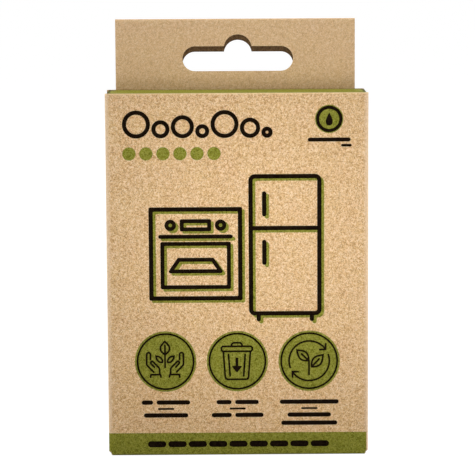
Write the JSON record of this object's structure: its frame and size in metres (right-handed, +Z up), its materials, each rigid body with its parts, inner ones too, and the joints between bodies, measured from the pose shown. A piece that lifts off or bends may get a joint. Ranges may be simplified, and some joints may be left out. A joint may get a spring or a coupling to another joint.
{
  "type": "pack of cleaning tablets",
  "caption": "Upright kraft folding carton with a two-ply hang tab, a tucked lid and base, line-drawn kitchen print and flat sealed sachets inside.",
  "frame": {"origin": "centre of the carton's footprint, on the plane that it stands on", "axes": "+Z up from the base to the hang tab, -Y out of the printed front, X along the front's width"},
  "size_m": [0.075, 0.015, 0.1254],
  "materials": {
    "kraft_board": "matte",
    "printed_board": "matte",
    "green_ink": "matte",
    "dark_ink": "matte",
    "sachet_paper": "matte"
  },
  "bodies": {
    "carton": {"carton": "kraft_board", "green_print": "green_ink", "dark_print": "dark_ink", "sachet_1": "sachet_paper", "sachet_2": "sachet_paper", "sachet_3": "sachet_paper", "sachet_4": "sachet_paper", "sachet_5": "sachet_paper", "sachet_6": "sachet_paper"},
    "lid": {"lid": "printed_board"},
    "tuck_flap": {"tuck_flap": "kraft_board"},
    "bottom_flap": {"bottom_flap": "printed_board"},
    "bottom_tuck_flap": {"bottom_tuck_flap": "kraft_board"}
  },
  "joints": [
    {"name": "lid_hinge", "type": "hinge", "parent": "carton", "child": "lid", "pos_m": [0, 0.00629, 0.105], "axis": [-1, 0, 0], "range_deg": [0, 85]},
    {"name": "tuck_fold", "type": "hinge", "parent": "lid", "child": "tuck_flap", "pos_m": [0, -0.00615, 0.10435], "axis": [1, 0, 0], "range_deg": [0, 68]},
    {"name": "bottom_hinge", "type": "hinge", "parent": "carton", "child": "bottom_flap", "pos_m": [0, -0.00685, 0], "axis": [-1, 0, 0], "range_deg": [0, 85]},
    {"name": "bottom_tuck_fold", "type": "hinge", "parent": "bottom_flap", "child": "bottom_tuck_flap", "pos_m": [0, 0.00615, 0.00065], "axis": [1, 0, 0], "range_deg": [0, 68]}
  ],
  "couplings": [
    {"joint": "tuck_fold", "follows": "lid_hinge", "ratio": 0.8},
    {"joint": "bottom_tuck_fold", "follows": "bottom_hinge", "ratio": 0.8}
  ]
}
